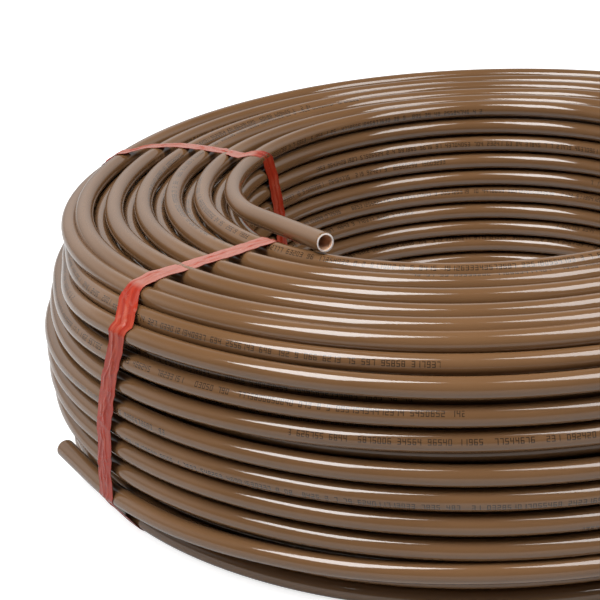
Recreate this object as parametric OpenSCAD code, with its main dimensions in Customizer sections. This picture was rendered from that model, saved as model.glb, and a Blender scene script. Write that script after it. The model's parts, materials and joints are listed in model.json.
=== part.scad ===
// Coil of plastic pipe, lying flat: nested layers of turns held by four film straps.
// Origin: on the coil's axis, at the level that the coil rests on. +Z runs up the axis.

/* [Pipe] */
// Outside diameter of the pipe
pipe_d = 16; // [12:1:25]
// Wall thickness of the pipe
pipe_wall = 2; // [1:0.5:3]

/* [Coil] */
// Clear diameter inside the innermost turns
bore_d = 412; // [300:2:600]
// Number of full layers, an even number; two partly wound layers lie over them
layers = 12; // [8:2:16]
// Turns in a full layer
rows = 12; // [10:1:16]
// Free space between neighbouring turns of one layer
row_gap = 2.3; // [0.5:0.1:4]
// Turns of the outermost layer above its gap
turns_above_gap = 3; // [1:1:3]
// Grooves left free below the outermost layer
free_grooves = 2; // [1:1:3]

/* [Inner end] */
// Azimuth where the inner end starts to rise out of its layer
inner_rise_az = 162; // [150:1:170]
// Angle of the rising arc
inner_rise_sweep = 53; // [40:1:70]
// Length of the straight stretch at the inner end
inner_straight = 110; // [60:1:120]
// Height that the inner end's tip clears the turns by
tip_clearance = 1.2; // [1:0.1:5]

/* [Outer end] */
// Slope of the last turn as it runs down the outside
outer_tilt = 0.5; // [0:0.1:1]
// Angle of the last, open turn
outer_sweep = 126; // [100:1:130]
// Length of the straight stretch at the outer end, which stands off the coil
outer_straight = 67; // [30:1:90]

/* [Straps] */
// Width of the film straps
strap_w = 18; // [8:1:25]
// Thickness of the film
strap_t = 0.4; // [0.3:0.1:1]
// Azimuth of the strap that crosses both free ends
strap_az = -135; // [-138:1:-133]
// Angle between the two straps of a pair
strap_pair = 63; // [50:1:70]

/* [Fit] */
// Clearance between solids that only lie against each other
clearance = 0.3; // [0.2:0.1:0.5]
// How far nested turns press into each other
nest_squeeze = 0.1; // [0.05:0.05:0.3]

/* [Hidden] */
$fn = 96;
pipe_colour = [0.54, 0.42, 0.3];
strap_colour = [0.9, 0.36, 0.26];

pipe_r = pipe_d / 2;
pipe_bore_r = pipe_r - pipe_wall;
row_pitch = pipe_d + row_gap;
// Neighbouring layers nest by half a row, so their radial pitch is less than a diameter
layer_pitch = sqrt(pow(pipe_d - nest_squeeze, 2) - pow(row_pitch / 2, 2));
// Distance between centres of turns that lie side by side without being pressed
loose_pitch = pipe_d + clearance;
base_z = strap_t + clearance;
last = layers + 1;
// The outermost layer starts below the top turns of the two layers that it covers
outer_top = rows - 3;
outer_gap = outer_top - turns_above_gap;
// Azimuths of the straps, the pairs standing opposite each other
straps = [strap_az, strap_az - strap_pair, strap_az + 180 - strap_pair, strap_az + 180];

function arc_angle(length, radius) = length / radius * 180 / PI;
// Even layers stand half a row higher at both ends than the odd ones between them
function is_short(layer) = layer % 2 == 1;
function turns_in(layer) = is_short(layer) ? rows - 1 : rows;
function layer_r(layer) = bore_d / 2 + pipe_r + layer * layer_pitch;
function turn_z(layer, turn) =
    base_z + pipe_r + (turn + (is_short(layer) ? 0.5 : 0)) * row_pitch;
function lowest(layer) = layer == last ? free_grooves : 0;
// The innermost layer's top turn goes only part of the way round, through the open sector
function highest(layer, is_open) =
    layer == last ? outer_top
    : layer == last - 1 || (layer == 0 && !is_open) ? rows - 2
    : turns_in(layer) - 1;
function centre(layer, turn) = [layer_r(layer), turn_z(layer, turn)];
function top_centres(is_open) = [for (layer = [0:last]) centre(layer, highest(layer, is_open))];

// Turns whose surface shows, as [layer, turn]
function edge_turns(is_open) = [
    for (layer = [0:last], turn = [lowest(layer):highest(layer, is_open)])
        if ((layer == 0 || layer >= last - 1
                || turn == lowest(layer) || turn == highest(layer, is_open))
            && !(layer == last && turn == outer_gap))
            [layer, turn]
];

// Line through the centres of the outer turns, going round the section and into the gap
function section_core(is_open) = concat(
    [centre(0, 0)],
    top_centres(is_open),
    [centre(last, outer_gap + 1), centre(last - 1, outer_gap + 1)],
    [centre(last - 1, outer_gap), centre(last, outer_gap - 1)],
    [centre(last, free_grooves), centre(last - 1, free_grooves)],
    [for (layer = [last - 1:-1:1]) centre(layer, 0)]
);

// How far a bore's cutter runs past the pipe's ends
end_overrun = 1;
// The inner end lies in the groove beside the second layer's top turn
inner_r = layer_r(1) - sqrt(pow(loose_pitch, 2) - pow(row_pitch / 2, 2));
// The open turn runs half way round the coil to the inner end
open_sweep = 180;
// Angle of the slit between the open turn and the free end that carries on from it
start_slit = arc_angle(clearance, inner_r);
inner_tilt = asin((pipe_d + tip_clearance) / (inner_r * (1 - cos(inner_rise_sweep))
    + inner_straight * sin(inner_rise_sweep)));
// The last turn lies on the layer below it, right under the lowest turn of its own layer
outer_r = layer_r(last - 1) + loose_pitch;
outer_z = turn_z(last, free_grooves) - sqrt(pow(loose_pitch, 2) - pow(outer_r - layer_r(last), 2));
outer_start_az = inner_rise_az - open_sweep;

// Half section of the wound turns
module coil_section(is_open) {
    polygon(section_core(is_open));
    for (t = edge_turns(is_open))
        translate(centre(t[0], t[1])) circle(r = pipe_r);
}

// The pipe is one length in three nodes: its wound turns and its two free ends.
// The wound turns are one turned solid; the innermost layer's top turn runs through the open sector
module wound_turns() {
    color(pipe_colour) {
        rotate([0, 0, inner_rise_az - open_sweep])
            rotate_extrude(angle = open_sweep) coil_section(true);
        rotate([0, 0, inner_rise_az])
            rotate_extrude(angle = 360 - open_sweep) coil_section(false);
    }
}

// Round bar bent to a circle of radius bend_r, from one azimuth to another
module bent_bar(bend_r, bar_r, from_az, to_az) {
    rotate([0, 0, from_az]) rotate_extrude(angle = to_az - from_az)
        translate([bend_r, 0]) circle(r = bar_r);
}

// Tilts what is inside about the tangent of the circle bend_r at azimuth 0
module tilt_at_tangent(bend_r, tilt) {
    translate([bend_r, 0, 0]) rotate([0, tilt, 0]) translate([-bend_r, 0, 0]) children();
}

// Solid rod along the inner end: a rising arc and a straight stretch
module inner_rod(rod_r, overrun) {
    start_az = start_slit - arc_angle(overrun, inner_r);
    translate([0, 0, turn_z(0, rows - 1)]) rotate([0, 0, inner_rise_az])
        tilt_at_tangent(inner_r, inner_tilt) {
            bent_bar(inner_r, rod_r, inner_rise_sweep, start_az);
            rotate([0, 0, inner_rise_sweep]) translate([inner_r, 0, 0])
                rotate([-90, 0, 0]) cylinder(h = inner_straight + overrun, r = rod_r);
        }
}

// Solid rod along the outer end: the last turn and a straight stretch
module outer_rod(rod_r, overrun) {
    translate([0, 0, outer_z]) rotate([0, 0, outer_start_az])
        tilt_at_tangent(outer_r, -outer_tilt) {
            bent_bar(outer_r, rod_r, -outer_sweep, arc_angle(overrun, outer_r));
            rotate([0, 0, -outer_sweep]) translate([outer_r, 0, 0])
                rotate([90, 0, 0]) cylinder(h = outer_straight + overrun, r = rod_r);
        }
}

// Free end of the pipe in the bore
module inner_end() {
    color(pipe_colour) difference() {
        inner_rod(pipe_r, 0);
        inner_rod(pipe_bore_r, end_overrun);
    }
}

// Free end of the pipe on the outside
module outer_end() {
    color(pipe_colour) difference() {
        outer_rod(pipe_r, 0);
        outer_rod(pipe_bore_r, end_overrun);
    }
}

// Turns and free ends that a strap passes over, as centres in the section
function strap_corners(over_open_turn, over_free_end) = concat(
    [centre(0, 0), centre(last - 1, 0), centre(last, free_grooves)],
    top_centres(over_open_turn),
    over_free_end
);

module strap_outline(corners, offset_r) {
    hull() for (c = corners) translate(c) circle(r = pipe_r + offset_r, $fn = 32);
}

// Closed band of film, pulled taut round the section
module strap(azimuth, corners) {
    color(strap_colour) rotate([90, 0, azimuth]) translate([0, 0, -strap_w / 2])
        linear_extrude(strap_w) difference() {
            strap_outline(corners, clearance + strap_t);
            strap_outline(corners, clearance);
        }
}

// Centre of the last, open turn at an azimuth
function outer_centre(azimuth) = [outer_r + clearance,
    outer_z - outer_r * sin(outer_tilt) * (1 - cos(outer_start_az - azimuth))];

// Centre of the inner end at an azimuth near the start of its rise
function inner_centre(azimuth) = [inner_r, turn_z(0, rows - 1)
    + inner_r * sin(inner_tilt) * (1 - cos(max(0, azimuth - inner_rise_az)))];

module strap_1() {
    strap(straps[0], strap_corners(false, [outer_centre(straps[0])]));
}

module strap_2() {
    strap(straps[1], strap_corners(true, [inner_centre(straps[1] + 360)]));
}

module strap_3() {
    strap(straps[2], strap_corners(true, [outer_centre(straps[2])]));
}

module strap_4() {
    strap(straps[3], strap_corners(true, []));
}

wound_turns();
inner_end();
outer_end();
strap_1();
strap_2();
strap_3();
strap_4();
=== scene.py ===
"""Looks of the pipe coil: its visible turns as tubes, two hollow free ends, four film straps."""

import json
import math

import bpy
import numpy as np
from mathutils import Matrix, Vector


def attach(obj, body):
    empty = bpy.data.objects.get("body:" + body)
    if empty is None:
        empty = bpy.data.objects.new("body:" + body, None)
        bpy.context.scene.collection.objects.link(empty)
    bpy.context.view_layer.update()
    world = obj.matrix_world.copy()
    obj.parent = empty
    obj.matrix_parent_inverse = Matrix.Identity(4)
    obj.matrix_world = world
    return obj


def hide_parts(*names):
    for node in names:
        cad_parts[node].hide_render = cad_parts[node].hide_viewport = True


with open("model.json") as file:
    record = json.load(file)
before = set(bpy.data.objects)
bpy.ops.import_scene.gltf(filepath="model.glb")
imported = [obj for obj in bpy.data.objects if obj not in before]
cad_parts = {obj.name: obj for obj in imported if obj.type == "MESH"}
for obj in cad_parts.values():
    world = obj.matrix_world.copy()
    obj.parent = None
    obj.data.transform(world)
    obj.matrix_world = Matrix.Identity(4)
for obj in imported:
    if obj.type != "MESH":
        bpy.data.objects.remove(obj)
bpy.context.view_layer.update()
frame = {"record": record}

MM = 0.001

# Pipe and winding in mm, as in the part's source
PIPE_R = 8.0
PIPE_BORE_R = 6.0
PIPE_ROUND = 2.0 * math.pi * PIPE_R * MM
ROW_PITCH = 18.3
LAYER_PITCH = 13.003
FIRST_LAYER_R = 214.0
FIRST_ROW_Z = 8.7
ROWS = 12
COVERED_LAYER = 12
OUTER_LAYER = 13

# Turns lie by decreasing azimuth, and each drops to the next row in this sector, in degrees
JOG_START = 35.0
JOG_END = 5.0
# The outermost layer's turns: heights at the front and at strap_1, radius and height on the left
OUTER_ROWS = [
    (183, 187, (360, 173)),
    (162, 163, (370, 156)),
    (143, 141, (375, 137)),
    (116, 119, (383, 114)),
    (97, 99, (383, 97)),
    (77, 80, (383, 79)),
]
# The layer below it: heights of its turns, and the upper ones' radius and height on the left
COVERED_ROWS = [196, 172, 152, 129, 107, 87, 67, 47, 26, 8.7]
COVERED_SLIPS = [(356, 188), (344, 168), (353, 150), (360, 131)]
# How far the top one has sunk in and down at the front
FRONT_SINK = (5.0, 4.0)
# How much lower than their rows the odd layers' top turns and the turns under the top lie
SUNK = 2.5
# How much higher the outermost odd layer's top turn lies, and the room for its waves under the
# straps. Strap_2 presses it down, and it rises again over so many degrees
RAISED = 5.0
RAISED_SWAY = 1.2
RAISED_AGAIN = 40.0
# Azimuths: the front, two of the straps, and the sector on the left where turns have slipped
FRONT_AZ = -85.0
STRAP_1_AZ = -137.0
STRAP_2_AZ = 162.0
SLIP_START = -166.0
SLIP_END = -235.0
# Stations of the outer layer's lowest turn and of the free end after it: azimuth, radius, height
LAST_TURN = [(5, 382.5, 57), (-85, 382.5, 57), (-128, 382.5, 59.5), (-165, 381, 60),
             (-240, 382.5, 58), (-325, 382.5, 57)]
TAIL = [(5, 382.5, 45), (-18, 382.5, 43), (-85, 386, 40.5), (-110, 386.3, 38), (-130, 386.3, 35)]

# Azimuth where the inner end starts to rise, as in the part's source
INNER_RISE_AZ = 162.0
# Points on the straight stretch of a free end
STRAIGHT_STEPS = 40
# The waves in a turn's height have the seed of those in its radius plus this
HEIGHT_SEED = 500

# The free ends' straight stretches, from the record
mounts = {m["name"]: m for m in frame["record"]["mounts"]}


def layer_r(layer):
    return FIRST_LAYER_R + layer * LAYER_PITCH


def row_z(layer, row):
    return FIRST_ROW_Z + (row + 0.5 * (layer % 2)) * ROW_PITCH


def smooth(x):
    x = np.clip(x, 0.0, 1.0)
    return x * x * (3.0 - 2.0 * x)


class Sway:
    """Gentle random wave along a turn, in mm. A closed turn's wave closes too."""

    def __init__(self, seed, size, closed):
        rng = np.random.default_rng(seed)
        self.waves = np.arange(2.0, 7.0)
        if not closed:
            self.waves += rng.uniform(-0.3, 0.3, len(self.waves))
        self.weights = size * rng.normal(size=len(self.waves)) / self.waves
        self.phases = rng.uniform(0.0, 2.0 * math.pi, len(self.waves))

    def __call__(self, azimuths):
        angles = np.radians(azimuths)[:, None] * self.waves + self.phases
        return np.sin(angles) @ self.weights


def polar_points(azimuths, radii, heights):
    angles = np.radians(azimuths)
    return np.stack([radii * np.cos(angles), radii * np.sin(angles), heights], axis=1)


def ring_path(radius, height, seed, sway=0.8, steps=180):
    """Closed turn of the coil, by decreasing azimuth."""
    azimuths = -np.arange(steps) * 360.0 / steps
    radii = radius + Sway(seed, sway, True)(azimuths)
    heights = height + Sway(seed + HEIGHT_SEED, sway, True)(azimuths)
    return polar_points(azimuths, radii, heights)


def strand_path(stations, seed, sway=0.8, step=2.0, closed=False):
    """Winding through stations of (azimuth, radius, height), by decreasing azimuth."""
    places = np.array(stations, float)
    count = int(round((places[0, 0] - places[-1, 0]) / step))
    azimuths = np.linspace(places[0, 0], places[-1, 0], count + 1)[: count if closed else None]
    part = np.clip(np.searchsorted(-places[:, 0], -azimuths, side="right") - 1, 0, len(places) - 2)
    share = smooth((places[part, 0] - azimuths) / (places[part, 0] - places[part + 1, 0]))
    radii, heights = (
        places[part, k] + share * (places[part + 1, k] - places[part, k]) for k in (1, 2)
    )
    radii += Sway(seed, sway, closed)(azimuths)
    heights += Sway(seed + HEIGHT_SEED, sway, closed)(azimuths)
    return polar_points(azimuths, radii, heights)


def blend_curve(start, start_along, end, end_along, count):
    """Smooth curve between two points that leaves and arrives in the given directions."""
    start, end = np.array(start, float), np.array(end, float)
    reach = np.linalg.norm(end - start)
    t = np.linspace(0.0, 1.0, count)[:, None]
    along_0, along_1 = reach * np.array(start_along), reach * np.array(end_along)
    return (
        (2 * t**3 - 3 * t**2 + 1) * start
        + (t**3 - 2 * t**2 + t) * along_0
        + (3 * t**2 - 2 * t**3) * end
        + (t**3 - t**2) * along_1
    )


def unit(vectors):
    return vectors / np.linalg.norm(vectors, axis=-1, keepdims=True)


def free_end(name):
    """Start, tip and direction of a free end's straight stretch, in mm."""
    middle = np.array(mounts[name]["pos_m"]) / MM
    along = unit(np.array(mounts[name]["axis"], float))
    half = 0.5 * mounts[name]["dims"]["length_mm"] * along
    return middle - half, middle + half, along


def grid_quads(bands, rings, around):
    """Quads of the bands between rings of points; the last may close onto the first ring."""
    band = np.arange(bands)[:, None]
    side = np.arange(around)[None, :]
    next_ring, next_side = (band + 1) % rings, (side + 1) % around
    corners = [
        band * around + side,
        band * around + next_side,
        next_ring * around + next_side,
        next_ring * around + side,
    ]
    return np.stack(corners, axis=-1).reshape(-1, 4)


def grid_uvs(near, far, low, high, twist=0.0):
    """UVs of those quads, from where each band and each side of it begins and ends."""
    ones = np.ones(np.broadcast(near, low).shape)
    corners = [(near, low), (near, high), (far, high), (far, low)]
    uvs = [np.stack([u * ones, v * ones + twist * u], axis=-1) for u, v in corners]
    return np.stack(uvs, axis=2).reshape(-1, 4, 2)


class Tubes:
    """One mesh of round tubes. Its UV is the metres along the pipe and the turn round it."""

    PIPE, CUT, BORE = range(3)
    # The print winds slowly round the pipe, in turns a metre
    TWIST = 0.02

    def __init__(self, sides):
        self.sides = sides
        self.points = []
        self.quads = []
        self.quad_uvs = []
        self.quad_finish = []
        self.caps = []
        self.count = 0

    def add(self, path, closed=False, hollow=False, print_angle=90.0, start=0.0):
        """Sweeps the pipe along a path in mm.

        A hollow tube's last end is open and shows its wall.
        """
        if closed:
            along = unit(np.roll(path, -1, axis=0) - np.roll(path, 1, axis=0))
        else:
            along = unit(np.gradient(path, axis=0))
        outward = unit(np.cross([0.0, 0.0, 1.0], along))
        upward = np.cross(along, outward)
        steps = np.linalg.norm(np.diff(path, axis=0), axis=1)
        distance = start + np.concatenate([[0.0], np.cumsum(steps)]) * MM
        index = np.arange(len(path))
        radius = np.full(len(path), PIPE_R)
        finish = np.full(len(path) - 1, self.PIPE)
        if closed:
            index = np.append(index, 0)
            radius = np.append(radius, PIPE_R)
            finish = np.append(finish, self.PIPE)
            closing = np.linalg.norm(path[0] - path[-1]) * MM
            distance = np.append(distance, distance[-1] + closing)
        centres = path[index]
        if hollow:
            centres, index, radius, distance, finish = self.open_end(
                path, along, index, radius, distance, finish
            )
        angles = np.radians(print_angle - 180.0 + np.arange(self.sides) * 360.0 / self.sides)
        rings = (
            centres[:, None, :]
            + radius[:, None, None] * np.cos(angles)[None, :, None] * outward[index][:, None, :]
            + radius[:, None, None] * np.sin(angles)[None, :, None] * upward[index][:, None, :]
        )
        kept = len(centres) - 1 if closed else len(centres)
        self.points.append(rings[:kept].reshape(-1, 3))
        self.join_rings(len(centres), kept, distance, finish)
        if not closed:
            first = self.count + np.arange(self.sides)
            final = first + (kept - 1) * self.sides
            self.caps.append((first[::-1].tolist(), self.PIPE))
            self.caps.append((final.tolist(), self.BORE if hollow else self.PIPE))
        self.count += kept * self.sides

    def open_end(self, path, along, index, radius, distance, finish):
        """Adds the rings of a cut end: a worn outer edge, the wall, and the bore some way back."""
        worn, depth_steps = 0.5, 28
        tip, tip_along = path[-1], along[-1]
        back = index[-2 : -2 - depth_steps : -1]
        centres = np.concatenate([
            path[:-1],
            [tip - worn * tip_along, tip, tip, tip - worn * tip_along],
            path[back],
        ])
        last = index[-1]
        index = np.concatenate([index[:-1], [last] * 4, back])
        radius = np.concatenate([
            radius[:-1],
            [PIPE_R, PIPE_R - worn, PIPE_BORE_R + 0.4 * worn, PIPE_BORE_R],
            np.full(depth_steps, PIPE_BORE_R),
        ])
        end = distance[-1]
        distance = np.concatenate([distance[:-1], [end] * 4, distance[back]])
        finish = np.concatenate([
            finish,
            [self.PIPE, self.CUT, self.CUT],
            np.full(depth_steps, self.BORE),
        ])
        return centres, index, radius, distance, finish

    def join_rings(self, rings, kept, distance, finish):
        self.quads.append(self.count + grid_quads(rings - 1, kept, self.sides))
        side = np.arange(self.sides)[None, :]
        low, high = side / self.sides, (side + 1) / self.sides
        near, far = distance[:-1, None], distance[1:, None]
        self.quad_uvs.append(grid_uvs(near, far, low, high, self.TWIST))
        self.quad_finish.append(np.repeat(finish, self.sides))

    def build(self, name, materials):
        points = np.concatenate(self.points) * MM
        quads = np.concatenate(self.quads)
        faces = quads.tolist() + [cap for cap, _ in self.caps]
        mesh = bpy.data.meshes.new(name)
        mesh.from_pydata(points.tolist(), [], faces)
        cap_corners = sum(len(cap) for cap, _ in self.caps)
        uvs = np.concatenate([
            np.concatenate(self.quad_uvs).reshape(-1, 2), np.zeros((cap_corners, 2))
        ])
        mesh.uv_layers.new(name="pipe").data.foreach_set("uv", uvs.ravel())
        finish = np.concatenate(self.quad_finish + [[kind for _, kind in self.caps]])
        for material in materials:
            mesh.materials.append(material)
        mesh.polygons.foreach_set("material_index", finish.astype(np.int32))
        mesh.shade_smooth()
        mesh.set_sharp_from_angle(angle=math.radians(50.0))
        mesh.validate()
        return add_piece(name, mesh)


def add_piece(name, mesh):
    piece = bpy.data.objects.new(name, mesh)
    bpy.context.scene.collection.objects.link(piece)
    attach(piece, "root")
    return piece


# ---------------------------------------------------------------- materials


class Nodes:
    """Short way to write the nodes of a material or a world."""

    def __init__(self, owner, shader="Principled BSDF"):
        owner.use_nodes = True
        self.owner = owner
        self.tree = owner.node_tree
        self.shader = self.tree.nodes[shader]

    def add(self, kind, settings=None, **inputs):
        """New node with these settings; _0, _1 and so on say what goes into its inputs."""
        node = self.tree.nodes.new(kind)
        for key, value in (settings or {}).items():
            setattr(node, key, value)
        for key, value in inputs.items():
            self.put(node.inputs[int(key[1:])], value)
        return node

    def put(self, socket, value):
        if isinstance(value, bpy.types.NodeSocket):
            self.tree.links.new(value, socket)
        else:
            socket.default_value = value

    def math(self, operation, *values):
        inputs = {f"_{i}": value for i, value in enumerate(values)}
        return self.add("ShaderNodeMath", {"operation": operation}, **inputs).outputs[0]

    def mix(self, share, low, high):
        node = self.add("ShaderNodeMix", {"data_type": "RGBA"})
        self.put(node.inputs["Factor"], share)
        self.put(node.inputs["A"], low)
        self.put(node.inputs["B"], high)
        return node.outputs["Result"]

    def noise(self, place, scale, detail=2.0):
        return self.add("ShaderNodeTexNoise", _0=place, _2=scale, _3=detail).outputs[0]

    def remap(self, value, low, high, new_low, new_high):
        node = self.add("ShaderNodeMapRange", _0=value, _1=low, _2=high, _3=new_low, _4=new_high)
        return node.outputs[0]

    def bump(self, height, strength, distance):
        node = self.add("ShaderNodeBump", _0=strength, _1=distance)
        self.put(node.inputs["Height"], height)
        return node.outputs[0]


# Which strokes of a seven-stroke figure each digit has
DIGITS = ["abcdef", "bc", "abdeg", "abcdg", "bcfg", "acdfg", "acdefg", "abc", "abcdefg", "abcdfg"]
# Pitch and height of the printed figures in metres, and how much of the colour is ink
PRINT_PITCH = 0.0034
PRINT_H = 0.0045
INK_SHARE = 0.88


def digit_strokes(nodes, place):
    """Switches for the strokes a to g of the random digit in the cell at place."""
    chance = nodes.add("ShaderNodeTexWhiteNoise", {"noise_dimensions": "1D"})
    nodes.put(chance.inputs["W"], place)
    switches = {}
    for strokes in ("abc", "def", "g"):
        ramp = nodes.add("ShaderNodeValToRGB", _0=chance.outputs["Value"])
        ramp.color_ramp.interpolation = "CONSTANT"
        while len(ramp.color_ramp.elements) < len(DIGITS):
            ramp.color_ramp.elements.new(0.99)
        for number, digit in enumerate(DIGITS):
            element = ramp.color_ramp.elements[number]
            element.position = number / len(DIGITS)
            element.color = [float(stroke in digit) for stroke in strokes.ljust(3)] + [1.0]
        parts = nodes.add("ShaderNodeSeparateColor", _0=ramp.outputs["Color"]).outputs
        switches.update({stroke: parts[k] for k, stroke in enumerate(strokes)})
    return switches


def print_ink(nodes, uv):
    """Share of ink: words of plain random digits in a line along the pipe."""
    parts = nodes.add("ShaderNodeSeparateXYZ", _0=uv).outputs
    along = nodes.math("DIVIDE", parts["X"], -PRINT_PITCH)
    cell = nodes.math("FLOOR", along)
    x = nodes.math("SUBTRACT", along, cell)
    turn = nodes.math("FRACT", parts["Y"])
    half_height = 0.5 * PRINT_H / PIPE_ROUND
    y = nodes.remap(turn, 0.5 - half_height, 0.5 + half_height, 0.0, 1.0)

    def within(value, middle, half):
        return nodes.math("COMPARE", value, middle, half)

    left, right, wide = within(x, 0.21, 0.09), within(x, 0.75, 0.09), within(x, 0.48, 0.36)
    upper, lower = within(y, 0.745, 0.25), within(y, 0.255, 0.25)
    boxes = {
        "a": (wide, within(y, 0.92, 0.075)), "b": (right, upper), "c": (right, lower),
        "d": (wide, within(y, 0.08, 0.075)), "e": (left, lower), "f": (left, upper),
        "g": (wide, within(y, 0.5, 0.075)),
    }
    ink = 0.0
    for stroke, switch in digit_strokes(nodes, cell).items():
        box = nodes.math("MULTIPLY", *boxes[stroke])
        ink = nodes.math("MULTIPLY_ADD", box, switch, ink)
    gap = nodes.add("ShaderNodeTexWhiteNoise", {"noise_dimensions": "1D"})
    nodes.put(gap.inputs["W"], nodes.math("ADD", cell, 0.4))
    word = nodes.math("GREATER_THAN", gap.outputs["Value"], 0.16)
    block = nodes.math("LESS_THAN", nodes.math("FRACT", parts["X"]), 0.5)
    printed = nodes.math("MULTIPLY", word, block)
    ink = nodes.math("MULTIPLY", nodes.math("MINIMUM", ink, 1.0), printed)
    return nodes.math("MULTIPLY", ink, INK_SHARE)


def pipe_material():
    nodes = Nodes(bpy.data.materials.new("pipe_barrier_layer"))
    shader = nodes.shader
    uv = nodes.add("ShaderNodeUVMap", {"uv_map": "pipe"}).outputs[0]
    place = nodes.add("ShaderNodeTexCoord").outputs["Object"]
    mottle = nodes.remap(nodes.noise(place, 9.0), 0.35, 0.65, 0.0, 1.0)
    colour = nodes.mix(mottle, (0.142, 0.071, 0.03, 1), (0.165, 0.084, 0.037, 1))
    colour = nodes.mix(print_ink(nodes, uv), colour, (0.02, 0.013, 0.009, 1))
    nodes.put(shader.inputs["Base Color"], colour)
    roughness = nodes.remap(nodes.noise(place, 60.0), 0.3, 0.7, 0.07, 0.12)
    nodes.put(shader.inputs["Roughness"], roughness)
    shader.inputs["IOR"].default_value = 1.58
    bump = nodes.bump(nodes.noise(place, 350.0), strength=0.1, distance=0.0002)
    nodes.put(shader.inputs["Normal"], bump)
    return nodes.owner


def cut_material():
    nodes = Nodes(bpy.data.materials.new("pipe_cut_wall"))
    shader = nodes.shader
    place = nodes.add("ShaderNodeTexCoord").outputs["Object"]
    grain = nodes.remap(nodes.noise(place, 900.0), 0.3, 0.7, 0.0, 1.0)
    colour = nodes.mix(grain, (0.66, 0.6, 0.57, 1), (0.82, 0.76, 0.73, 1))
    nodes.put(shader.inputs["Base Color"], colour)
    shader.inputs["Roughness"].default_value = 0.35
    shader.inputs["Subsurface Weight"].default_value = 0.4
    shader.inputs["Subsurface Radius"].default_value = (0.003, 0.0025, 0.002)
    return nodes.owner


def bore_material():
    nodes = Nodes(bpy.data.materials.new("pipe_bore_wall"))
    shader = nodes.shader
    place = nodes.add("ShaderNodeTexCoord").outputs["Object"]
    streak = nodes.remap(nodes.noise(place, 120.0), 0.3, 0.7, 0.0, 1.0)
    colour = nodes.mix(streak, (0.62, 0.36, 0.22, 1), (0.78, 0.52, 0.36, 1))
    nodes.put(shader.inputs["Base Color"], colour)
    shader.inputs["Roughness"].default_value = 0.3
    return nodes.owner


def film_material():
    nodes = Nodes(bpy.data.materials.new("strap_film"))
    shader = nodes.shader
    uv = nodes.add("ShaderNodeUVMap", {"uv_map": "film"}).outputs[0]
    place = nodes.add("ShaderNodeTexCoord").outputs["Object"]
    stretched = nodes.add("ShaderNodeMapping", {"vector_type": "POINT"}, _0=uv)
    stretched.inputs["Scale"].default_value = (18.0, 5.0, 1.0)
    slanted = nodes.add("ShaderNodeMapping", {"vector_type": "POINT"}, _0=uv)
    slanted.inputs["Rotation"].default_value = (0.0, 0.0, 0.5)
    slanted.inputs["Scale"].default_value = (150.0, 2.5, 1.0)
    pleat = nodes.remap(nodes.noise(stretched.outputs[0], 1.0, 3.0), 0.38, 0.62, 0.0, 1.0)
    patch = nodes.remap(nodes.noise(place, 30.0, 3.0), 0.4, 0.6, 0.0, 1.0)
    light = nodes.mix(patch, (0.34, 0.024, 0.008, 1), (0.38, 0.06, 0.03, 1))
    colour = nodes.mix(pleat, (0.27, 0.018, 0.006, 1), light)
    # Painted sheen: the film is paler pink where it faces up, standing in for light reflected off
    # its top
    normal = nodes.add("ShaderNodeNewGeometry").outputs["Normal"]
    upward = nodes.add("ShaderNodeSeparateXYZ", _0=normal).outputs["Z"]
    painted_top_sheen = nodes.remap(upward, 0.8, 0.98, 0.0, 0.7)
    nodes.put(shader.inputs["Base Color"], nodes.mix(painted_top_sheen, colour, (0.38, 0.18, 0.14, 1)))
    roughness = nodes.remap(nodes.noise(place, 150.0), 0.3, 0.7, 0.16, 0.28)
    nodes.put(shader.inputs["Roughness"], roughness)
    shader.inputs["IOR"].default_value = 1.5
    shader.inputs["Specular IOR Level"].default_value = 0.2
    crinkle = nodes.noise(slanted.outputs[0], 1.0, 2.0)
    bump = nodes.bump(crinkle, strength=0.6, distance=0.0006)
    nodes.put(shader.inputs["Normal"], bump)
    return nodes.owner


# ---------------------------------------------------------------- pipe


def outer_turns(materials):
    """The outermost layer, wound downward into the outer free end."""
    # The waves along the turns stay within the part's width
    radius = layer_r(OUTER_LAYER) - 0.5
    stations = []
    for row, (front, strap, left) in enumerate(OUTER_ROWS):
        first = -360.0 * row
        stations += [
            (JOG_END + first, radius, front),
            (FRONT_AZ + first, radius, front),
            (STRAP_1_AZ + first, radius, strap),
            (SLIP_START + first, *left),
            (SLIP_END + first, *left),
            (JOG_START - 360.0 + first, radius, front),
        ]
    first = -360.0 * len(OUTER_ROWS)
    stations += [(az + first, r, z) for az, r, z in LAST_TURN]
    stations += [(az + first - 360.0, r, z) for az, r, z in TAIL]
    start, tip, _ = free_end("outer_end_outside")
    start_az = math.degrees(math.atan2(start[1], start[0]))
    stations.append((start_az + first - 360.0, math.hypot(start[0], start[1]), start[2]))
    winding = strand_path(stations, seed=11, sway=0.4)
    # The wave dies out before the straight stretch
    fade_points = 12
    near_end = smooth(1.0 - np.arange(len(winding))[::-1] / fade_points)[:, None]
    winding += near_end * (start - winding[-1])
    straight = np.linspace(start, tip, STRAIGHT_STEPS)
    tubes = Tubes(sides=28)
    tubes.add(np.concatenate([winding[:-1], straight]), hollow=True, print_angle=60.0)
    return tubes.build("outer_turns", materials)


def covered_turns(materials):
    tubes = Tubes(sides=20)
    radius = layer_r(COVERED_LAYER)
    for row, height in enumerate(COVERED_ROWS):
        left = COVERED_SLIPS[row] if row < len(COVERED_SLIPS) else (radius, height)
        sunk_in, sunk_down = FRONT_SINK if row == 0 else (0.0, 0.0)
        front = (radius - sunk_in, height - sunk_down)
        stations = [(STRAP_1_AZ, radius, height), (SLIP_START, *left), (SLIP_END, *left),
                    (JOG_START - 360.0, *front), (FRONT_AZ - 360.0, *front),
                    (STRAP_1_AZ - 360.0, radius, height)]
        path = strand_path(stations, 40 + row, closed=True)
        tubes.add(path, closed=True, print_angle=40.0 + 53.0 * row, start=11.0 * row)
    return tubes.build("covered_turns", materials)


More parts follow.
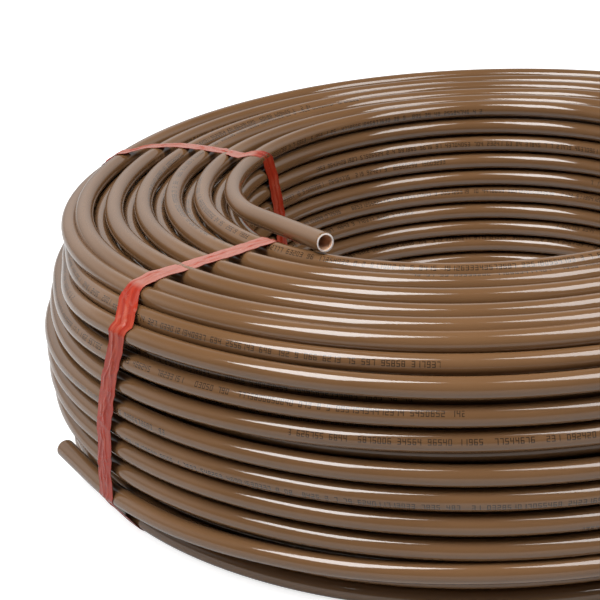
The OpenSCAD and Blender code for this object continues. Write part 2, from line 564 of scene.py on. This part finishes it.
def top_turns(materials):
    tubes = Tubes(sides=24)
    again_az = STRAP_2_AZ - 360.0 - RAISED_AGAIN
    for layer in range(1, COVERED_LAYER):
        radius, height = layer_r(layer), row_z(layer, ROWS - 1 - layer % 2)
        pressed = 0.0
        if layer == COVERED_LAYER - 1:
            height += RAISED
            pressed = RAISED
        elif layer % 2:
            height -= SUNK
        stations = [(STRAP_1_AZ, radius, height), (STRAP_2_AZ - 360.0, radius, height - pressed),
                    (again_az, radius, height), (STRAP_1_AZ - 360.0, radius, height)]
        path = strand_path(stations, 70 + layer, closed=True)
        tubes.add(path, closed=True, print_angle=20.0 + 71.0 * layer, start=7.0 * layer)
    return tubes.build("top_turns", materials)


def under_turns(materials):
    """Turns that show dimly between those on top."""
    tubes = Tubes(sides=14)
    for layer in range(2, COVERED_LAYER):
        height = row_z(layer, ROWS - 2 - layer % 2) - SUNK
        tubes.add(ring_path(layer_r(layer), height, 160 + layer, steps=120), closed=True)
    return tubes.build("under_turns", materials)


def hidden_turns(materials):
    """Turns deep in the coil, which close the view between those on the outside."""
    inner_layer, outer_layer = 8, 10
    # The turns from this height up make room for the slipped ones outside them
    slips_from, slip = 125.0, 14.0
    tubes = Tubes(sides=10)
    for row in range(1, ROWS - 2):
        height = row_z(inner_layer, row)
        slips = height > slips_from
        # The outer one slips inward there and takes the inner one's place
        for layer in (outer_layer,) if slips else (inner_layer, outer_layer):
            radius = layer_r(layer)
            left = (radius - slip if slips else radius, height)
            stations = [(STRAP_1_AZ, radius, height), (SLIP_START, *left), (SLIP_END, *left),
                        (JOG_START - 360.0, radius, height), (STRAP_1_AZ - 360.0, radius, height)]
            path = strand_path(stations, 180 + row, sway=0.2, step=4.0, closed=True)
            tubes.add(path, closed=True)
    return tubes.build("hidden_turns", materials)


def bottom_turns(materials):
    tubes = Tubes(sides=20)
    for layer in range(1, COVERED_LAYER):
        path = ring_path(layer_r(layer), row_z(layer, 0), 100 + layer, sway=0.2)
        tubes.add(path, closed=True, print_angle=37.0 * layer, start=5.0 * layer)
    return tubes.build("bottom_turns", materials)


def bore_turns(materials):
    """The innermost layer, wound downward from the inner free end."""
    radius = layer_r(0)
    # The top turn lies a little further in, as in the part's source
    stations = [(INNER_RISE_AZ, radius - 0.5, row_z(0, ROWS - 1))]
    for row in range(ROWS - 1, 0, -1):
        first = -360.0 * (ROWS - 1 - row)
        stations += [
            (JOG_START + first, radius, row_z(0, row)),
            (JOG_END + first, radius, row_z(0, row - 1)),
        ]
    stations.append((JOG_START - 360.0 * (ROWS - 1), radius, row_z(0, 0)))
    winding = strand_path(stations, seed=21, sway=0.5)
    start, tip, along = free_end("inner_end_outside")
    rise_az = math.radians(INNER_RISE_AZ)
    leave = np.array([-math.sin(rise_az), math.cos(rise_az), 0.0])
    rise = blend_curve(winding[0], leave, start, along, count=40)
    straight = np.linspace(start, tip, STRAIGHT_STEPS)
    path = np.concatenate([winding[::-1], rise[1:-1], straight])
    tubes = Tubes(sides=28)
    tubes.add(path, hollow=True, print_angle=100.0)
    return tubes.build("bore_turns", materials)


def second_layer(materials):
    """Turns that show dimly between those of the bore."""
    tubes = Tubes(sides=14)
    for row in range(1, ROWS - 2):
        tubes.add(ring_path(layer_r(1), row_z(1, row), 130 + row, steps=120), closed=True)
    return tubes.build("second_layer_turns", materials)


# ---------------------------------------------------------------- straps

# In mm: the film's thickness, its distance from the turns, and the length of its mesh's bands
FILM_T = 0.35
FILM_GAP = 0.2
FILM_STEP = 1.6
FILM_POINTS_ACROSS = 29
# Numbers of creases in a strap, their greatest height, and how far its edges wander, in mm
LONG_CREASES = 5
CROSS_CREASES = 26
CREASE_MAX = 0.9
EDGE_SWAY = 0.35


def taut_outline(centres):
    """Closed line pulled taut round the pipe sections at those (radius, height) centres."""
    angles = np.radians(np.arange(0.0, 360.0, 6.0))
    reach = PIPE_R + FILM_GAP
    circle = reach * np.stack([np.cos(angles), np.sin(angles)], axis=1)
    cloud = (np.array(centres)[:, None, :] + circle[None]).reshape(-1, 2)
    cloud = cloud[np.lexsort((cloud[:, 1], cloud[:, 0]))]

    def half(points):
        chain = []
        for p in points:
            while len(chain) > 1:
                a, b = chain[-1] - chain[-2], p - chain[-1]
                if a[0] * b[1] - a[1] * b[0] > 0.0:
                    break
                chain.pop()
            chain.append(p)
        return chain[:-1]

    return np.array(half(cloud) + half(cloud[::-1]))


def even_loop(points, spacing):
    """The closed line again, with points a fixed distance apart."""
    closed = np.vstack([points, points[:1]])
    lengths = np.concatenate([[0.0], np.cumsum(np.linalg.norm(np.diff(closed, axis=0), axis=1))])
    count = int(lengths[-1] / spacing)
    places = np.arange(count) * lengths[-1] / count
    return np.stack([np.interp(places, lengths, closed[:, k]) for k in range(2)], axis=1)


def section_centres(slipped):
    """Centres of the turns that a strap lies on, as (radius, height)."""
    if slipped:
        rows = [COVERED_SLIPS[0]] + [left for _, _, left in OUTER_ROWS]
    else:
        rows = [(layer_r(COVERED_LAYER), COVERED_ROWS[0])]
        rows += [(layer_r(OUTER_LAYER), OUTER_ROWS[k][1]) for k in (0, 3, -1)]
    rows += [(layer_r(COVERED_LAYER), COVERED_ROWS[-1])]
    rows += [(layer_r(layer), row_z(layer, 0)) for layer in range(COVERED_LAYER)]
    rows += [
        (layer_r(layer), row_z(layer, ROWS - 1)) for layer in range(2, COVERED_LAYER, 2)
    ]
    raised = 0.0 if slipped else RAISED + RAISED_SWAY
    rows += [(layer_r(COVERED_LAYER - 1), row_z(COVERED_LAYER - 1, ROWS - 2) + raised)]
    rows += [(layer_r(0), row_z(0, ROWS - 2))]
    return rows


def loop_noise(count, rng, low, high):
    """Random wave round a closed loop, of about size 1, with low to high waves a lap."""
    angles = np.arange(count)[:, None] / count * 2.0 * math.pi
    waves = np.arange(low, high)
    phases = rng.uniform(0.0, 2.0 * math.pi, len(waves))
    weights = rng.normal(size=len(waves)) / math.sqrt(0.5 * len(waves))
    return np.sin(angles * waves + phases) @ weights


def film_lift(rng, count, across):
    """How far creases stand off the taut film, in mm.

    Some run along it and wander, and others cross it slantwise.
    """
    lift = np.zeros((count, len(across)))
    for _ in range(LONG_CREASES):
        centre = rng.uniform(-0.45, 0.45) + 0.12 * loop_noise(count, rng, 3, 20)
        height = 0.45 * np.clip(0.4 + loop_noise(count, rng, 8, 40), 0.0, 1.2)
        lift += height[:, None] * np.exp(-(((across[None] - centre[:, None]) / 0.05) ** 2))
    for _ in range(CROSS_CREASES):
        at, slope = rng.uniform(0, count), rng.uniform(-9.0, 9.0)
        gap = np.abs(np.arange(count)[:, None] - at - slope * across[None])
        gap = np.minimum(gap, count - gap)
        lift += rng.uniform(0.15, 0.5) * np.exp(-((gap / 0.8) ** 2))
    return np.minimum(lift, CREASE_MAX)


def film_strap(name, stations, extra, seed, material, slipped=False):
    """Closed band of wrinkled film through stations of (radius, height, azimuth, width).

    It also lies on the turns whose centres extra lists.
    """
    outline = even_loop(taut_outline(section_centres(slipped) + extra), FILM_STEP)
    count = len(outline)
    ahead = unit(np.roll(outline, -1, axis=0) - np.roll(outline, 1, axis=0))
    outward = np.stack([ahead[:, 1], -ahead[:, 0]], axis=1)
    stations = np.array(stations, float)
    places = np.argmin(
        np.linalg.norm(outline[:, None] - stations[None, :, :2], axis=2), axis=0
    )
    steps = np.arange(count)
    azimuth = np.interp(steps, places, stations[:, 2], period=count)
    width = np.interp(steps, places, stations[:, 3], period=count)

    rng = np.random.default_rng(seed)
    across = np.linspace(-0.5, 0.5, FILM_POINTS_ACROSS)
    # It has no creases where the coil rests on it
    above_floor = smooth((outline[:, 1] - 1.0) / 10.0)[:, None]
    lift = film_lift(rng, count, across) * above_floor
    # The edges wander, each by itself
    edges = np.stack([loop_noise(count, rng, 15, 60), loop_noise(count, rng, 15, 60)], axis=1)
    low_edge, high_edge = (EDGE_SWAY * edges[:, k, None] for k in (0, 1))
    share = across[None] + 0.5
    offsets = across[None] * width[:, None] + low_edge * (1.0 - share) + high_edge * share

    angle = np.radians(azimuth)[:, None]
    layers = []
    for side in (1.0, 0.0):
        reach = outline[:, None, :] + outward[:, None, :] * (lift + FILM_T * side)[:, :, None]
        x = reach[..., 0] * np.cos(angle) - offsets * np.sin(angle)
        y = reach[..., 0] * np.sin(angle) + offsets * np.cos(angle)
        # A turn stays as far from the axis across the whole width
        flat = np.hypot(x, y)
        x, y = x * reach[..., 0] / flat, y * reach[..., 0] / flat
        layers.append(np.stack([x, y, reach[..., 1]], axis=2))
    sheet = np.concatenate([layers[0], layers[1][:, ::-1]], axis=1)
    quads = grid_quads(count, count, sheet.shape[1])
    mesh = bpy.data.meshes.new(name)
    mesh.from_pydata((sheet.reshape(-1, 3) * MM).tolist(), [], quads.tolist())
    u = (steps * FILM_STEP * MM)[:, None]
    v = np.concatenate([share[0], share[0][::-1]])[None, :]
    uvs = grid_uvs(u, u + FILM_STEP * MM, v, np.roll(v, -1, axis=1))
    mesh.uv_layers.new(name="film").data.foreach_set("uv", uvs.ravel())
    mesh.materials.append(material)
    mesh.shade_smooth()
    mesh.set_sharp_from_angle(angle=math.radians(60.0))
    piece = add_piece(name, mesh)
    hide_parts(name.replace("film_", ""))
    return piece


# ---------------------------------------------------------------- stage

# The camera's place and aim in metres, its roll, and its lens in mm
CAMERA_AT = Vector((0.0, -1.3104, 0.6327))
CAMERA_TARGET = Vector((-0.1593, -0.0197, 0.1009))
CAMERA_ROLL = math.radians(-4.31)
CAMERA_LENS = 91.74
SENSOR_W = 36.0


def add_camera():
    data = bpy.data.cameras.new("camera")
    data.lens = CAMERA_LENS
    data.sensor_width = SENSOR_W
    data.clip_start, data.clip_end = 0.05, 60.0
    camera = bpy.data.objects.new("camera", data)
    bpy.context.scene.collection.objects.link(camera)
    camera.location = CAMERA_AT
    aim = (CAMERA_TARGET - CAMERA_AT).to_track_quat("-Z", "Y")
    camera.rotation_mode = "QUATERNION"
    camera.rotation_quaternion = aim @ Matrix.Rotation(CAMERA_ROLL, 3, "Z").to_quaternion()
    bpy.context.scene.camera = camera


def add_softbox(name, azimuth, elevation, distance, width, height, watts):
    data = bpy.data.lights.new(name, "AREA")
    data.shape = "RECTANGLE"
    data.size, data.size_y = width, height
    data.energy = watts
    lamp = bpy.data.objects.new(name, data)
    bpy.context.scene.collection.objects.link(lamp)
    az, el = math.radians(azimuth), math.radians(elevation)
    target = Vector((0.0, 0.0, 0.1))
    direction = Vector((math.cos(az) * math.cos(el), math.sin(az) * math.cos(el), math.sin(el)))
    lamp.location = target + distance * direction
    lamp.rotation_mode = "QUATERNION"
    lamp.rotation_quaternion = (-direction).to_track_quat("-Z", "Y")


def add_floor():
    size = 12.0
    mesh = bpy.data.meshes.new("floor")
    corners = [(-size, -size, 0), (size, -size, 0), (size, size, 0), (-size, size, 0)]
    mesh.from_pydata(corners, [], [(0, 1, 2, 3)])
    nodes = Nodes(bpy.data.materials.new("floor"))
    nodes.shader.inputs["Base Color"].default_value = (0.5, 0.5, 0.5, 1)
    nodes.shader.inputs["Roughness"].default_value = 0.6
    path = nodes.add("ShaderNodeLightPath")
    seen = nodes.math("MAXIMUM", path.outputs["Is Camera Ray"], path.outputs["Is Transmission Ray"])
    nodes.shader.inputs["Emission Color"].default_value = (1, 1, 1, 1)
    place = nodes.add("ShaderNodeTexCoord").outputs["Object"]
    # The camera sees it white, and a little darker close to the coil
    away = nodes.add("ShaderNodeVectorMath", {"operation": "LENGTH"}, _0=place).outputs["Value"]
    glow = nodes.math("MULTIPLY", seen, nodes.remap(away, 0.36, 0.75, 0.75, 1.1))
    # Gloss shows it dim in front and brighter towards the back
    to_back = nodes.add("ShaderNodeSeparateXYZ", _0=place).outputs["Y"]
    sheen = nodes.remap(to_back, -0.9, 0.2, 0.03, 0.3)
    sheen = nodes.math("MULTIPLY", path.outputs["Is Glossy Ray"], sheen)
    nodes.put(nodes.shader.inputs["Emission Strength"], nodes.math("ADD", glow, sheen))
    mesh.materials.append(nodes.owner)
    floor = bpy.data.objects.new("floor", mesh)
    bpy.context.scene.collection.objects.link(floor)


def set_world():
    """White round the back and the sides, dim in front and above, and white for the camera."""
    nodes = Nodes(bpy.data.worlds.new("studio"), "Background")
    bpy.context.scene.world = nodes.owner
    path = nodes.add("ShaderNodeLightPath")
    seen = nodes.math("MAXIMUM", path.outputs["Is Camera Ray"], path.outputs["Is Transmission Ray"])
    direction = nodes.add("ShaderNodeTexCoord").outputs["Generated"]
    parts = nodes.add("ShaderNodeSeparateXYZ", _0=direction).outputs
    behind = nodes.remap(parts["Y"], -0.45, 0.15, 0.0, 1.0)
    low = nodes.remap(parts["Z"], 0.45, 0.75, 1.0, 0.0)
    level = nodes.remap(nodes.math("ABSOLUTE", parts["Z"]), 0.0, 0.35, 0.4, 1.0)
    white = nodes.math("MULTIPLY", nodes.math("MULTIPLY", behind, low), level)
    room = nodes.remap(white, 0.0, 1.0, 0.09, 0.9)
    nodes.put(nodes.shader.inputs["Strength"], nodes.math("MAXIMUM", seen, room))
    nodes.shader.inputs["Color"].default_value = (1, 1, 1, 1)


# ---------------------------------------------------------------- the pieces

pipe_materials = [pipe_material(), cut_material(), bore_material()]
film = film_material()
outer = outer_turns(pipe_materials)
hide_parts("wound_turns", "inner_end", "outer_end")
covered_turns(pipe_materials)
top_turns(pipe_materials)
bottom_turns(pipe_materials)
bore_turns(pipe_materials)
second_layer(pipe_materials)
under_turns(pipe_materials)
hidden_turns(pipe_materials)

# Centres of the inner layer's top turn, and of the last turn and the free end after it, where
# straps lie on them
top_inner_turn = (layer_r(0), row_z(0, ROWS - 1))
tail_at_strap_1 = (386.4, 34.4)
last_turn_at_strap_2 = (382.5, 59.8)
tail_at_strap_3, last_turn_at_strap_3 = (386.3, 45), (386.3, 56.8)
last_turn_at_strap_4 = (382.7, 57)
film_strap("film_strap_1", [
    (394, 36, -138.9, 21), (391, 55, -138.7, 21), (391, 100, -137.6, 21), (391, 120, -136.7, 21),
    (391, 140, -135.6, 20), (391, 159, -134.4, 19), (391, 178, -133.2, 18), (388, 196, -132.2, 22),
    (374, 208, -134.0, 24), (365, 214, -134.7, 18), (305, 218, -133.5, 17), (245, 218, -132.5, 17),
    (206, 195, -132.5, 15), (206, 100, -134, 14), (206, 12, -135, 14), (300, 0, -136, 15),
    (375, 0, -137.8, 20), (386, 12, -138.8, 22), (391, 24, -139.9, 22),
], [tail_at_strap_1], 1, film)
film_strap("film_strap_2", [
    (391, 100, 160, 16), (366, 185, 163, 16), (358, 208, 167, 16), (338, 216, 165.5, 14),
    (325, 217, 162.2, 13), (296, 218, 160.6, 13), (267, 218, 161.4, 13), (243, 218, 162.7, 13),
    (220, 218, 165.5, 16), (206, 208, 159, 18), (206, 190, 156.9, 18), (206, 147, 154.7, 18),
    (206, 40, 156, 16), (300, 0, 160, 15), (385, 20, 164, 16),
], [top_inner_turn, last_turn_at_strap_2], 2, film, slipped=True)
film_strap("film_strap_3", [
    (391, 100, -18.5, 17), (374, 208, -18, 17), (290, 218, -17.4, 15), (206, 190, -17, 15),
    (206, 40, -17.5, 15), (300, 0, -18, 15),
], [tail_at_strap_3, last_turn_at_strap_3, top_inner_turn], 3, film)
film_strap("film_strap_4", [
    (391, 100, 44.5, 17), (374, 208, 45, 17), (290, 218, 45.4, 15), (206, 190, 45.6, 15),
    (206, 40, 45.2, 15), (300, 0, 45, 15),
], [top_inner_turn, last_turn_at_strap_4], 4, film)

add_camera()
add_softbox("left_softbox", -139.0, 57.0, distance=2.6, width=1.15, height=1.6, watts=66.0)
add_softbox("right_softbox", -45.0, 57.0, distance=2.6, width=1.2, height=1.6, watts=46.0)
add_floor()
set_world()
bpy.context.scene.view_settings.view_transform = "Standard"
